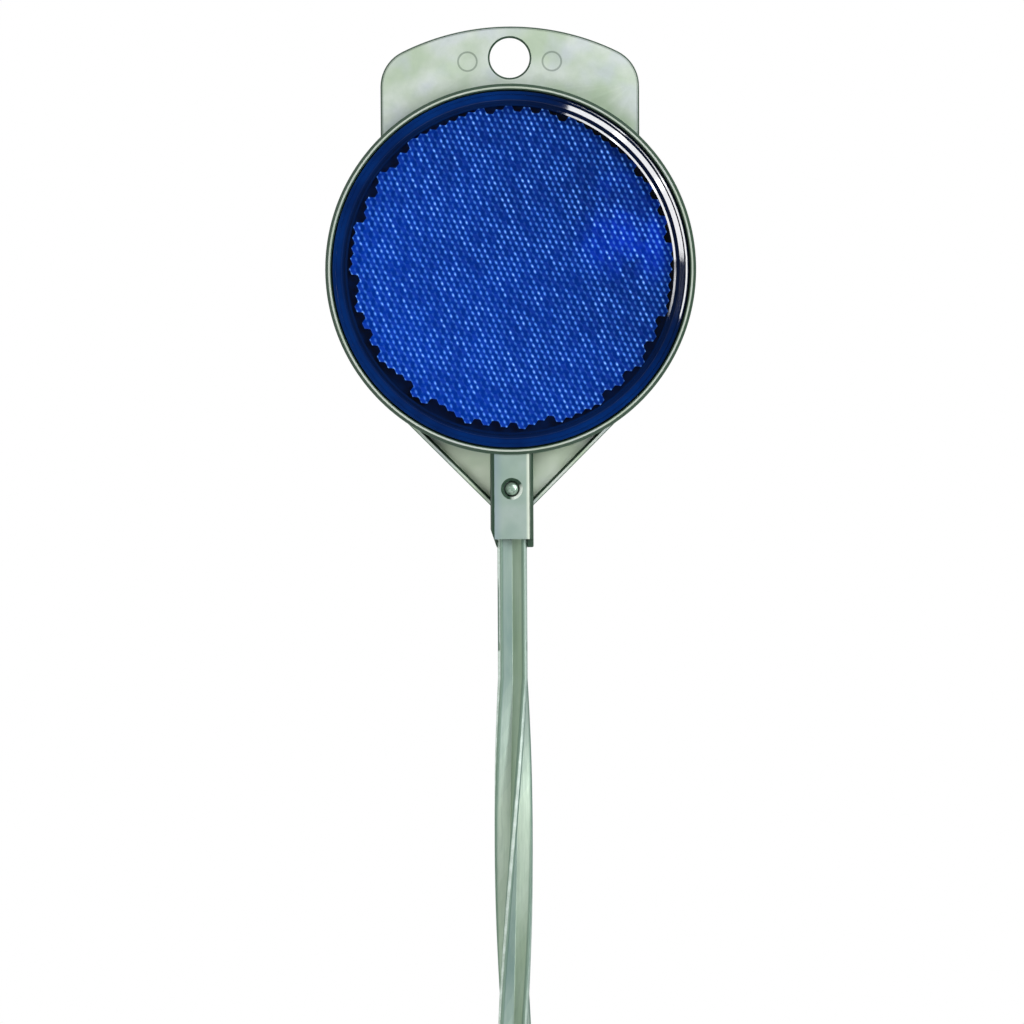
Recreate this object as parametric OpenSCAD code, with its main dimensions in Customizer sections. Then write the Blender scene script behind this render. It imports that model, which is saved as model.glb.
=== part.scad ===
// Round prism reflector in a moulded housing, on a twisted four-arm stake.
// The reflector faces -Y, +X is to its right and +Z is up. The origin is the point of the stake.

/* [Whole marker] */
// Height from the point of the stake to the top of the nail tab
overall_h = 914.4; // [600:1:1300]

/* [Ring] */
// Outer diameter of the housing's ring
ring_od = 82.55; // [76:0.05:100]
// Wall of the ring at its back
ring_wall = 1.35; // [1.25:0.05:3]
// How much the ring's outside tapers in from its back to its front edge
ring_draft = 0.6; // [0:0.05:0.6]
// Depth of the ring from its flat back to its front edge
ring_depth = 10.5; // [9.9:0.1:16]
// Thickness of the floor behind the lens
floor_t = 1.6; // [1:0.1:3]
// Rounding of the ring's front edges
rim_round = 0.3; // [0.1:0.05:0.3]

/* [Nail tab] */
// Height of the tab's top edge above the ring
tab_rise = 12.925; // [12:0.005:16]
// Width of the tab
tab_w = 57.6; // [50:0.1:66]
// Thickness of the tab
tab_t = 2; // [1.2:0.1:4]
// Radius of the tab's upper corners
tab_corner = 8.6; // [3:0.1:12]
// Diameter of the nail hole
nail_hole_d = 8.9; // [5:0.1:9.4]
// Distance of the nail hole's centre below the tab's top edge
nail_hole_drop = 7; // [6:0.1:7.6]
// Diameter of the round ejector marks on the tab
mark_d = 4.6; // [2:0.1:5]
// Depth of all the ejector marks
mark_depth = 0.15; // [0.05:0.05:0.4]
// Distance of the tab's ejector marks from its centre line
mark_out = 9.4; // [8:0.1:12]
// How far the tab's ejector marks sit below the nail hole's centre
mark_low = 0.8; // [0:0.1:1]

/* [Gussets] */
// Thickness of the gusset plates
gusset_t = 2; // [1.2:0.1:4]
// Thickness of the rib along each gusset's outer edge
rib_t = 1.3; // [0.8:0.1:2.5]
// Height of the ribs above the flat back
rib_h = 5.4; // [3:0.1:8]
// How far the ribs' outer faces stay inside the ring's outer radius
rib_inset = 0.775; // [0.5:0.005:3]
// Diameter of the ejector mark on each gusset
gusset_mark_d = 3.8; // [1:0.1:4]
// Distance of those marks from the centre line
gusset_mark_out = 7.5; // [7.2:0.1:8.4]
// Distance of those marks' centres below the ring
gusset_mark_drop = 1.8; // [1.8:0.1:2.6]

/* [Stake socket] */
// Wall of the socket
socket_wall = 1.35; // [1:0.05:3]
// Length of the socket's front wall below the ring
socket_len = 18.725; // [15:0.005:40]
// How far the side and back walls run on below the front wall
socket_lip = 1.8; // [0:0.1:5]
// Height of the slanting cut on the left wall's lower corner
lip_cut_h = 4; // [1:0.1:8]
// Rounding of the socket's front edges
socket_round = 1.05; // [0.2:0.05:1.2]
// Clearance between the stake and each wall of the socket
stake_fit = 0.1; // [0.05:0.05:0.5]

/* [Stake] */
// Width of the stake across two opposite arms
stake_w = 8.5; // [7:0.1:12]
// Thickness of an arm
arm_t = 1.42; // [1:0.02:2.4]
// Chamfer on the corners of the arms' tips
tip_chamfer = 0.25; // [0.05:0.05:0.5]
// Radius in the bottom of each flute
flute_round = 1.2; // [0.2:0.1:1.5]
// Length of the straight stretch below the socket
neck_len = 29; // [10:1:60]
// Length of the straight stretch at the foot, with its chisel point
foot_len = 25; // [15:1:60]
// Length of stake in which the arms make one full turn
twist_pitch = 281; // [200:1:500]
// Height of the chisel point
point_h = 9; // [4:0.5:14]

/* [Lens] */
// Gap all round between the lens and the ring
lens_fit = 0.3; // [0.1:0.05:0.6]
// Depth of the lens's face below the ring's front edge
lens_recess = 0.3; // [0:0.05:1]
// Thickness of the lens's face in front of the prisms
face_t = 2; // [1.2:0.1:3]
// Width of the rounded shoulder round the raised face
shoulder_w = 2.3; // [1.5:0.1:3.5]
// Height of the raised face above the shoulder
face_rise = 0.45; // [0.1:0.05:0.8]
// Width of the groove between the raised face and the shoulder
groove_w = 0.5; // [0.2:0.05:1]
// Depth of that groove below the shoulder
groove_depth = 0.3; // [0.1:0.05:0.6]
// Radius of the shoulder's outer edge
shoulder_round = 2.1; // [0.5:0.1:2.2]
// Rounding of the raised face's edge
face_round = 0.35; // [0.1:0.05:0.4]
// Wall of the skirt that stands on the housing's floor
skirt_wall = 2.2; // [1.2:0.1:3]
// Width across the flats of one corner-cube prism
prism_pitch = 2.336; // [2.2:0.002:4]
// Direction of the prism rows, from the horizontal
prism_turn = 24; // [0:1:60]
// Plain margin between the prism field and the skirt
prism_margin = 1.8; // [0.6:0.1:4]

/* [Locking rivet] */
// Distance of the rivet below the ring
rivet_drop = 7.525; // [5.5:0.005:10]
// Diameter of the rivet's head
rivet_head_d = 2.9; // [2.6:0.1:3.6]
// Height of the domed head
rivet_head_h = 0.8; // [0.4:0.1:1.2]
// Diameter of the rivet's shank
rivet_d = 2.4; // [1.6:0.1:2.5]
// Gap round the rivet's head in its seat
head_fit = 0.35; // [0.1:0.05:0.6]
// Clearance round the rivet's shank
rivet_fit = 0.05; // [0.02:0.01:0.2]
// Width by which the seat's countersink opens out on each side
seat_flare = 0.6; // [0.2:0.1:0.9]
// Depth of the rivet's end in the socket's back wall
rivet_bite = 0.8; // [0.3:0.1:0.9]

/* [Hidden] */
$fn = 96;
overlap = 0.5; // how far shapes that are fused reach into each other
past = 1; // how far a cutting shape runs past the surface it opens
least_flat = 0.1; // narrowest flat between the groove and the rounding of the shoulder

ring_r = ring_od / 2;
tab_r = ring_r + tab_rise;
ring_z = overall_h - tab_r;
cup_r = ring_r - ring_wall;
rim_r = ring_r - ring_draft;
mid_wall_r = (cup_r + rim_r) / 2;
nail_hole_up = tab_r - nail_hole_drop;
rib_reach = ring_r - rib_inset;

// The square bore fits the stake with its arms on the diagonals.
stake_side = (stake_w + arm_t - 2 * tip_chamfer) / sqrt(2);
bore_w = stake_side + 2 * stake_fit;
socket_w = bore_w + 2 * socket_wall;
back_y = socket_w / 2;
front_y = -socket_w / 2;
socket_front_z = ring_z - ring_r - socket_len;
socket_end_z = socket_front_z - socket_lip;
bore_top_z = ring_z - ring_r;
rivet_z = ring_z - ring_r - rivet_drop;

lens_r = cup_r - lens_fit;
lens_back = floor_t;
lens_front = ring_depth - lens_recess;
shoulder_z = lens_front - face_rise;
groove_z = shoulder_z - groove_depth;
groove_r = lens_r - shoulder_w;
shoulder_arc_r = min(shoulder_round, shoulder_w - least_flat);
face_r = groove_r - groove_w;
skirt_r = lens_r - skirt_wall;
prism_edge = prism_pitch / sqrt(2);
cell_side = prism_pitch / sqrt(3);
prism_step = prism_edge / sqrt(3);
prism_base_z = lens_front - face_t;
prism_zone_r = skirt_r - prism_margin - cell_side;

twist_top_z = socket_end_z - neck_len;
twist_len = twist_top_z - foot_len;
twist_turn = 360 * twist_len / twist_pitch;
turn_per_slice = 12;

function arc(centre, r, from, to, steps) =
    [for (i = [0:steps]) centre + r * [cos(from + (to - from) * i / steps), sin(from + (to - from) * i / steps)]];

// The head is drawn in the plane of the ring, as seen from the front, with its thickness towards the viewer.
module head_frame() {
    translate([0, back_y, ring_z])
        rotate([90, 0, 0])
            children();
}

// ---- housing ----

module ring_profile() {
    inner = arc([cup_r + rim_round, ring_depth - rim_round], rim_round, 180, 90, 4);
    outer = arc([rim_r - rim_round, ring_depth - rim_round], rim_round, 90, 0, 4);
    polygon(concat([[0, 0], [0, floor_t], [cup_r, floor_t]], inner, outer, [[ring_r, 0]]));
}

// The top edge runs about the ring's centre, and the corners are tangent to it and to the sides.
module tab_outline() {
    corner_x = tab_w / 2 - tab_corner;
    corner_y = sqrt(pow(tab_r - tab_corner, 2) - pow(corner_x, 2));
    lean = atan2(corner_y, corner_x);
    right = arc([corner_x, corner_y], tab_corner, 0, lean, 8);
    top = arc([0, 0], tab_r, lean, 180 - lean, 32);
    left = arc([-corner_x, corner_y], tab_corner, 180 - lean, 180, 8);
    polygon(concat([[tab_w / 2, 0]], right, top, left, [[-tab_w / 2, 0]]));
}

module ejector_mark(x, y, surface, diameter) {
    translate([x, y, surface - mark_depth])
        cylinder(d = diameter, h = mark_depth + past);
}

module nail_tab() {
    difference() {
        linear_extrude(tab_t)
            tab_outline();
        translate([0, nail_hole_up, -past])
            cylinder(d = nail_hole_d, h = tab_t + 2 * past);
        for (side = [-1, 1])
            ejector_mark(side * mark_out, nail_hole_up - mark_low, tab_t, mark_d);
    }
}

// A band at 45 degrees, at the given distances from the ring's centre, that ends in the socket's side.
module slant_band(near, far, thickness) {
    end_y = -far * sqrt(2) + socket_w / 2;
    start_y = -far / sqrt(2);
    inner_gap = (far - near) * sqrt(2);
    linear_extrude(thickness)
        polygon([
            [-start_y, start_y],
            [socket_w / 2 - overlap, end_y - overlap],
            [socket_w / 2 - overlap, end_y - overlap + inner_gap],
            [-start_y - inner_gap / 2, start_y + inner_gap / 2],
        ]);
}

module gusset() {
    difference() {
        slant_band(ring_r / 2, rib_reach, gusset_t);
        ejector_mark(gusset_mark_out, -ring_r - gusset_mark_drop, gusset_t, gusset_mark_d);
    }
    slant_band(rib_reach - rib_t, rib_reach, rib_h);
}

module socket_outline() {
    half = socket_w / 2;
    edge = half - socket_round;
    left = arc([-edge, -edge], socket_round, 180, 270, 4);
    right = arc([edge, -edge], socket_round, 270, 360, 4);
    polygon(concat([[-half, half]], left, right, [[half, half]]));
}

module socket_body() {
    difference() {
        translate([0, 0, socket_end_z])
            linear_extrude(bore_top_z + ring_wall - socket_end_z)
                socket_outline();
        // the front wall stops above the side and back walls
        translate([-socket_w, front_y - past, socket_end_z - past])
            cube([2 * socket_w, socket_wall + past, socket_lip + past]);
        // slanting cut on the left wall's lower corner
        translate([-socket_w / 2, 0, socket_end_z])
            rotate([90, 0, 0])
                linear_extrude(2 * socket_w, center = true)
                    polygon([[-past, -past], [socket_wall, -past], [socket_wall, 0], [0, lip_cut_h], [-past, lip_cut_h]]);
    }
}

module socket_bore() {
    translate([-bore_w / 2, -bore_w / 2, socket_end_z - past])
        cube([bore_w, bore_w, bore_top_z - socket_end_z + past]);
}

module rivet_seat() {
    head_hole_d = rivet_head_d + 2 * head_fit;
    translate([0, front_y, rivet_z])
        rotate([-90, 0, 0]) {
            translate([0, 0, -past])
                cylinder(d = head_hole_d, h = socket_wall + 2 * past);
            cylinder(d1 = head_hole_d + 2 * seat_flare, d2 = head_hole_d, h = socket_wall / 2);
        }
    translate([0, back_y - socket_wall - past, rivet_z])
        rotate([-90, 0, 0])
            cylinder(d = rivet_d + 2 * rivet_fit, h = past + rivet_bite);
}

module reflector_housing() {
    color([0.62, 0.66, 0.62])
        difference() {
            union() {
                head_frame() {
                    rotate_extrude()
                        ring_profile();
                    difference() {
                        union() {
                            nail_tab();
                            gusset();
                            mirror([1, 0, 0])
                                gusset();
                        }
                        translate([0, 0, floor_t])
                            cylinder(r = mid_wall_r, h = ring_depth);
                    }
                }
                difference() {
                    socket_body();
                    head_frame()
                        translate([0, 0, floor_t])
                            cylinder(r = mid_wall_r, h = ring_depth);
                }
            }
            socket_bore();
            rivet_seat();
        }
}

// ---- lens ----

module lens_profile() {
    shoulder = arc([lens_r - shoulder_arc_r, shoulder_z - shoulder_arc_r], shoulder_arc_r, 0, 90, 8);
    face_edge = arc([face_r - face_round, lens_front - face_round], face_round, 0, 90, 4);
    polygon(concat(
        [[0, prism_base_z], [skirt_r, prism_base_z], [skirt_r, lens_back], [lens_r, lens_back]],
        shoulder,
        [[groove_r, shoulder_z], [groove_r - groove_w / 2, groove_z], [face_r, groove_z]],
        face_edge,
        [[0, lens_front]]));
}

// Corners of the prisms lie on a triangular lattice in three levels, in turn: tip, ridge end and valley.
function lattice(i, j) = cell_side * [i + j / 2, j * sqrt(3) / 2];
function level(i, j) = ((i - j) % 3 + 3) % 3;
function is_cell(i, j) = level(i, j) == 0 && norm(lattice(i, j)) <= prism_zone_r;

NEIGHBOURS = [[1, 0], [0, 1], [-1, 1], [-1, 0], [0, -1], [1, -1]];

module prism_field() {
    reach = ceil(2 / sqrt(3) * prism_zone_r / cell_side) + 1;
    row = 2 * reach + 1;
    root_z = prism_base_z + overlap;
    valley_z = prism_base_z;
    function at(i, j) = (i + reach) * row + j + reach;
    function next_to(i, j, k) = at(i + NEIGHBOURS[k % 6][0], j + NEIGHBOURS[k % 6][1]);
    tips = [for (i = [-reach:reach], j = [-reach:reach])
        concat(lattice(i, j), [valley_z - (2 - level(i, j)) * prism_step])];
    roots = [for (i = [-reach:reach], j = [-reach:reach])
        concat(lattice(i, j), [root_z])];
    up = row * row;
    cells = [for (i = [-reach:reach], j = [-reach:reach]) if (is_cell(i, j)) [i, j]];
    cube_faces = [for (c = cells, k = [0, 2, 4])
        [at(c[0], c[1]), next_to(c[0], c[1], k), next_to(c[0], c[1], k + 1), next_to(c[0], c[1], k + 2)]];
    root_faces = [for (c = cells)
        [for (k = [5:-1:0]) up + next_to(c[0], c[1], k)]];
    edge_faces = [for (c = cells, k = [0:5])
        let (a = NEIGHBOURS[k], b = NEIGHBOURS[(k + 1) % 6])
            if (!is_cell(c[0] + a[0] + b[0], c[1] + a[1] + b[1]))
                let (p = next_to(c[0], c[1], k), q = next_to(c[0], c[1], k + 1))
                    [up + p, up + q, q, p]];
    polyhedron(concat(tips, roots), concat(cube_faces, root_faces, edge_faces), convexity = 10);
}

module prism_lens() {
    color([0.02, 0.1, 0.75, 0.9])
        head_frame() {
            rotate_extrude()
                lens_profile();
            rotate(prism_turn - 30)
                prism_field();
        }
}

// ---- stake ----

// One quarter of the outline, tip first, is repeated for the four arms.
function stake_outline() =
    let (half = arm_t / 2, root = half + flute_round, tip = stake_w / 2, flat = half - tip_chamfer,
        right = [[tip - tip_chamfer, -half], [tip, -flat]], left = [[tip, flat], [tip - tip_chamfer, half]],
        quarter = concat(right, left, arc([root, root], flute_round, 270, 180, 3)))
        [for (k = [0:3], p = quarter)
            [p[0] * cos(90 * k) - p[1] * sin(90 * k), p[0] * sin(90 * k) + p[1] * cos(90 * k)]];

// The arms stand on the diagonals at the top and turn clockwise, seen from above, on the way down.
module twisted_bar() {
    outline = stake_outline();
    sides = len(outline);
    slices = ceil(twist_turn / turn_per_slice);
    middle = [for (i = [0:slices]) [foot_len + twist_len * i / slices, 45 - twist_turn * (1 - i / slices)]];
    stations = concat([[0, 45 - twist_turn]], middle, [[bore_top_z, 45]]);
    last = len(stations) - 1;
    corners = [for (s = stations, p = outline)
        [p[0] * cos(s[1]) - p[1] * sin(s[1]), p[0] * sin(s[1]) + p[1] * cos(s[1]), s[0]]];
    lower = [for (i = [0:last - 1], k = [0:sides - 1])
        [i * sides + k, (i + 1) * sides + k, (i + 1) * sides + (k + 1) % sides]];
    upper = [for (i = [0:last - 1], k = [0:sides - 1])
        [i * sides + k, (i + 1) * sides + (k + 1) % sides, i * sides + (k + 1) % sides]];
    foot_end = [for (k = [0:sides - 1]) k];
    head_end = [for (k = [sides - 1:-1:0]) last * sides + k];
    polyhedron(corners, concat(lower, upper, [foot_end, head_end]), convexity = 6);
}

// Cuts one side of the foot to a slope that ends on the stake's axis.
module chisel_cut() {
    reach = stake_w / 2 + past;
    rotate([90, 0, 0])
        linear_extrude(2 * stake_w, center = true)
            polygon([[0, 0], [reach, point_h * 2 * reach / stake_w], [reach, -past], [0, -past]]);
}

module stake() {
    color([0.74, 0.77, 0.74])
        difference() {
            twisted_bar();
            rotate(45 - twist_turn) {
                chisel_cut();
                mirror([1, 0, 0])
                    chisel_cut();
            }
            translate([0, 0, rivet_z])
                rotate([90, 0, 0])
                    cylinder(d = rivet_d + 2 * rivet_fit, h = 2 * stake_w, center = true);
        }
}

// ---- rivet ----

module locking_rivet() {
    tail_y = back_y - socket_wall + rivet_bite;
    head_y = front_y + socket_wall;
    head_r = rivet_head_d / 2;
    dome_r = (pow(head_r, 2) + pow(rivet_head_h, 2)) / (2 * rivet_head_h);
    dome_turn = asin(head_r / dome_r);
    color([0.85, 0.86, 0.86])
        translate([0, head_y, rivet_z])
            rotate([90, 0, 0])
                rotate_extrude()
                    polygon(concat(
                        arc([0, rivet_head_h - dome_r], dome_r, 90, 90 - dome_turn, 6),
                        [[rivet_d / 2, 0], [rivet_d / 2, head_y - tail_y], [0, head_y - tail_y]]));
}

reflector_housing();
prism_lens();
stake();
locking_rivet();
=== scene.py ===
from math import atan2, ceil, cos, degrees, pi, radians, sin, sqrt, tan

import bmesh
import bpy
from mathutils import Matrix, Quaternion, Vector


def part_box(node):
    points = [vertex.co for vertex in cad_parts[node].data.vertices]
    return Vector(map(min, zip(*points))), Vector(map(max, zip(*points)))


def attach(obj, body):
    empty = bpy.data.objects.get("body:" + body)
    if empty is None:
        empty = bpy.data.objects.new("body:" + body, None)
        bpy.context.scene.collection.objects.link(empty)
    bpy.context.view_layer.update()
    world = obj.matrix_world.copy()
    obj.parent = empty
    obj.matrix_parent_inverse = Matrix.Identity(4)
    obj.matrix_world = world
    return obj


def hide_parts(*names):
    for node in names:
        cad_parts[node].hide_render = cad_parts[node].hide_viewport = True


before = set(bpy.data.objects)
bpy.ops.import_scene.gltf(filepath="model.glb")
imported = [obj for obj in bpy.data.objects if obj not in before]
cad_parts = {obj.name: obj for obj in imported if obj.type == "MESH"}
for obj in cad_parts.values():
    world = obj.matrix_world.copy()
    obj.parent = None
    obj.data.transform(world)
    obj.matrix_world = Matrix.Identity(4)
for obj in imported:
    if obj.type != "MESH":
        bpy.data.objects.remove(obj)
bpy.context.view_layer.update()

# Sizes are in millimetres and angles in degrees, unless a comment says otherwise. Places come from the frame.
MM = 0.001

# ---- ring ----
RING_WALL = 1.35
RING_DRAFT = 0.6  # how much further in the rim ends than the ring's back edge
RIM_ROUND_IN = 0.42
RIM_ROUND_OUT = 0.15
RIM_STEP = 0.06  # how far the foot of the rim's chamfer stays inside the ring's widest radius
RIM_CHAMFER = 0.55  # how far that foot lies behind the front edge
BACK_ROUND = 0.3
FLOOR_T = 1.6
FLOOR_ROUND = 0.5

# ---- nail tab ----
TAB_R = 54.2  # from the ring's centre to the tab's top edge
TAB_W = 57.6
TAB_T = 2.0
TAB_CORNER = 8.6
TAB_SOFT = 0.6
NAIL_HOLE_D = 8.9
NAIL_HOLE_UP = 47.2  # above the ring's centre
HOLE_LIP = 0.4
MARK_D = 4.6
MARK_OUT = 9.4
MARK_LOW = 0.8  # below the middle of the nail hole
MARK_DEPTH = 0.12
MARK_SLOPE = 0.42  # how much an ejector mark's side opens on the way out

# ---- gussets ----
GUSSET_T = 2.0
GUSSET_ARC = (-80, -46)  # where the right plate meets the ring
GUSSET_MARK_D = 3.8
GUSSET_MARK_OUT = 7.5
GUSSET_MARK_DROP = 1.8  # below the ring
GUSSET_MARK_DEPTH = 0.06
RIB_T = 1.55
RIB_H = 5.4
RIB_REACH = 40.5  # from the ring's centre to the rib's outer face
RIB_LEAN_IN = 0.75
RIB_LEAN_OUT = 0.1
RIB_SOFT = 0.1

# ---- socket ----
SOCKET_WALL = 1.35
SOCKET_FRONT_DOWN = 60.0  # from the ring's centre to the end of the front wall
SOCKET_LIP = 1.8
LIP_CUT_H = 4.0
LIP_CLEAR = 0.1  # how far the lips are cut back behind the front wall's inner face
LIP_SLOPE = 1.1  # how far they are cut back at the outside
SOCKET_ROUND = 1.2
SOCKET_SOFT = 0.3
SEAT_FLARE = 0.62

# ---- lens ----
LENS_FIT = 0.3
LENS_RECESS = 0.3
FACE_T = 0.6
FACE_RISE = 0.45
FACE_LEAN = 20.7
FACE_SLOPE_IN = 0.06  # how far the slope round the face ends inside the face's edge
FACE_ROUND = 0.1
WINDOW_R = 36.3
GROOVE_W = 0.5
GROOVE_DEPTH = 0.3
GROOVE_FLARE = 0.3
GROOVE_ROUND = 0.1
SHOULDER_W = 2.3
SHOULDER_LEAN = 20
BEAD_H = 0.4
BEAD_IN = 0.7  # from the lens's edge to the crest of the bead
BEAD_STEP = 0.05
OUTER_LEAN = 22.5
EDGE_ROUND = 0.2
SKIRT_WALL = 2.2
BACKING_T = 0.4
BACKING_DOWN = 2.2  # from the prisms' nearest corners to the middle of the backing plate
BACKING_FIT = 0.05

# ---- prisms ----
PRISM_PITCH = 2.336
PRISM_TURN = 24.0
PRISM_MARGIN = 0.9
PRISM_SHIFT = (0.35, 0.5)
PRISM_DOWN = 2.0  # from the lens's face to the prisms' nearest corners
PRISM_SEEN = 0.4  # acrylic makes the prisms look shallower than they are
PRISM_BODY_T = 0.8
DOT_LONG = 0.72
DOT_WIDE = 0.4
DOT_LEAN = 62

# ---- stake ----
STAKE_W = 8.5
ARM_T = 1.42
TIP_ROUND = 0.52
FLUTE_ROUND = 0.12
NECK_LEN = 29.0
FOOT_LEN = 25.0
TWIST_PITCH = 281.0
TWIST_SLICES = 160
POINT_H = 9.0
POINT_FLAT = 0.1
STAKE_END = 0.3  # how far the bar stops short of the ground point, and passes the top of the bore
NICK = ((-3.12, -68.8), (-3.12, -82.4), (-2.72, -83.5), (-2.72, -84.7))  # across, and up from the ring's centre
NICK_RAMP = 0.4

# ---- rivet ----
RIVET_DOWN = 48.8  # below the ring's centre
RIVET_HEAD_D = 2.9
RIVET_HEAD_H = 0.8
HEAD_FIT = 0.35

# ---- modelling ----
SKIN = 0.004  # the shown surfaces stay this far inside the outermost ones of the frame
IN_WALL = 0.6  # how far a joined shape reaches into the ring's wall
IN_SOCKET = 0.5  # how far the gussets reach into the socket's side
PAST = 1.0  # how far a cutting shape runs past the surface it opens
SAME_PLACE = 0.002  # points closer than this are merged
ON_FACE = 0.01  # points closer than this to a face lie on it
SHARP = 35  # edges that turn by more than this are bevelled
TURN_STEPS = 192
LENS_STEPS = 256

# ---- picture ----
PICTURE_PX = 1024
PX_PER_MM = 4.494
RING_CENTRE_PX = (510.7, 269.5)
CAMERA_ROLL = 0.3
CAMERA_AWAY = 3.0  # metres
CAMERA_SENSOR = 36.0

# ---- room and lamps, in metres ----
FLOOR_SIZE = 3.0
FLOOR_PLACE = (0, 1.0, -0.0005)
FLOOR_FADE = (0.08, 0.48)  # distances from the foot between which the floor turns to plain white
ROOM_LIGHT = 1.25
# Brightness of the room by direction: 0 is beside the object, 1 is where the camera stands.
ROOM_ZONES = ((-0.2, 0.75), (0.0, 0.5), (0.3, 0.5), (0.52, 0.3), (0.62, 0.04), (0.84, 0.04), (0.9, 0.8),
              (0.965, 0.8), (0.985, 0.05), (1.0, 0.05))
ROOM_SIDES = (1.5, 0.7)  # left and right
STRIP_AWAY = 1.1
STRIP_RADIANCE = 22.0
# Name, degrees above three o'clock round the ring, degrees off the ring's axis, width, length.
STRIPS = (("top_strip", 60.0, 42.8, 0.085, 0.28), ("upper_strip", 41.0, 42.8, 0.088, 0.32),
          ("middle_strip", 18.5, 44.4, 0.15, 0.37), ("lower_strip", -5.0, 45.8, 0.104, 0.27))
FILL_PLACE = (-0.33, -0.88, 0.53)
FILL_SIZE = 0.55
FILL_POWER = 3.0

# ---- derived ----
housing_low, housing_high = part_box("reflector_housing")
rivet_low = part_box("locking_rivet")[0]
RING_R = (housing_high.x - housing_low.x) / 2 / MM - SKIN
RING_DEPTH = (housing_high.y - housing_low.y) / MM - 2 * SKIN
BACK_Y = housing_high.y / MM - SKIN
RING_Z = housing_high.z / MM - TAB_R
TAB_TOP_R = TAB_R - SKIN
CUP_R = RING_R - RING_WALL
LENS_R = CUP_R - LENS_FIT
LENS_FRONT = RING_DEPTH - LENS_RECESS
PRISM_TOP = LENS_FRONT - PRISM_DOWN
PRISM_SIDE = PRISM_PITCH / sqrt(3)
PRISM_STEP = PRISM_PITCH / sqrt(6) * PRISM_SEEN
SOCKET_W = 2 * BACK_Y
SOCKET_END_Z = RING_Z - SOCKET_FRONT_DOWN - SOCKET_LIP
SOCKET_TOP_Z = RING_Z - RING_R
RIVET_Z = RING_Z - RIVET_DOWN
TWIST_TOP_Z = SOCKET_END_Z - NECK_LEN


def arc(centre, r, start, end, steps):
    """Points along an arc."""
    angles = [radians(start + (end - start) * i / steps) for i in range(steps + 1)]
    return [(centre[0] + r * cos(a), centre[1] + r * sin(a)) for a in angles]


def mm(x, y, z):
    """A point or a distance given in millimetres, in metres."""
    return Vector((x, y, z)) * MM


def in_head(x, up, depth):
    """A point given from the ring's centre and from the flat back, in metres in the frame."""
    return mm(x, BACK_Y - depth, RING_Z + up)


# ---- modelling by hand: each step works on the active object ----
def deselect_all():
    if bpy.context.object and bpy.context.object.mode != "OBJECT":
        bpy.ops.object.mode_set(mode="OBJECT")
    bpy.ops.object.select_all(action="DESELECT")


def work_on(piece):
    deselect_all()
    piece.select_set(True)
    bpy.context.view_layer.objects.active = piece


def edit(piece):
    work_on(piece)
    bpy.ops.object.mode_set(mode="EDIT")
    bpy.ops.mesh.select_all(action="SELECT")


def finish_edit():
    bpy.ops.object.mode_set(mode="OBJECT")


def tidy_skin():
    bpy.ops.mesh.select_all(action="SELECT")
    bpy.ops.mesh.remove_doubles(threshold=SAME_PLACE * MM)
    bpy.ops.mesh.normals_make_consistent(inside=False)
    finish_edit()


def name_start(name):
    """Names a new primitive and moves its place and size into its mesh."""
    piece = bpy.context.object
    piece.name = piece.data.name = name
    bpy.ops.object.transform_apply(location=True, rotation=True, scale=True)
    return piece


def select_faces(piece, wanted):
    """Selects the faces for which wanted(centre, normal) is true, with the centre in millimetres."""
    bpy.ops.mesh.select_mode(type="FACE")
    bpy.ops.mesh.select_all(action="DESELECT")
    mesh = bmesh.from_edit_mesh(piece.data)
    for face in mesh.faces:
        face.select = wanted(face.calc_center_median() / MM, face.normal)
    mesh.select_flush_mode()
    bmesh.update_edit_mesh(piece.data)


def select_points(piece, wanted):
    """Selects the points for which wanted(vertex) is true."""
    bpy.ops.mesh.select_mode(type="VERT")
    bpy.ops.mesh.select_all(action="DESELECT")
    mesh = bmesh.from_edit_mesh(piece.data)
    for vertex in mesh.verts:
        vertex.select = wanted(vertex)
    mesh.select_flush_mode()
    bmesh.update_edit_mesh(piece.data)


def push(distance):
    """Extrudes what is selected by a vector in metres."""
    bpy.ops.mesh.extrude_region_move(TRANSFORM_OT_translate={"value": distance})


def drawn_line(name, points):
    """Draws a line from point to point by extruding one vertex."""
    deselect_all()
    bpy.ops.mesh.primitive_plane_add(size=MM, location=points[0])
    piece = name_start(name)
    edit(piece)
    bpy.ops.mesh.merge(type="CENTER")
    for near, far in zip(points, points[1:]):
        push(far - near)
    bpy.ops.mesh.select_all(action="SELECT")
    return piece


def turned(name, profile, steps):
    """Spins a profile of (radius, depth) points about the ring's axis."""
    piece = drawn_line(name, [in_head(r, 0, depth) for r, depth in profile])
    bpy.ops.mesh.spin(steps=steps, angle=2 * pi, center=in_head(0, 0, 0), axis=(0, 1, 0))
    tidy_skin()
    return piece


def slab(name, points, distance):
    """Fills an outline of points and extrudes it by a vector, all in metres."""
    piece = drawn_line(name, points)
    bpy.ops.mesh.edge_face_add()
    push(distance)
    tidy_skin()
    return piece


def head_slab(name, outline, thickness):
    """A plate that stands on the head's flat back."""
    return slab(name, [in_head(x, up, 0) for x, up in outline], mm(0, -thickness, 0))


def round_bar(name, centre, back_r, front_r, length, vertices=64):
    """A cylinder or cone along Y, given by its middle."""
    deselect_all()
    bpy.ops.mesh.primitive_cone_add(vertices=vertices, radius1=back_r * MM, radius2=front_r * MM,
                                    depth=length * MM, location=centre, rotation=(pi / 2, 0, 0))
    return name_start(name)


def box(name, low, high):
    deselect_all()
    bpy.ops.mesh.primitive_cube_add(size=1, location=(low + high) / 2)
    bpy.context.object.scale = high - low
    return name_start(name)


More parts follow.
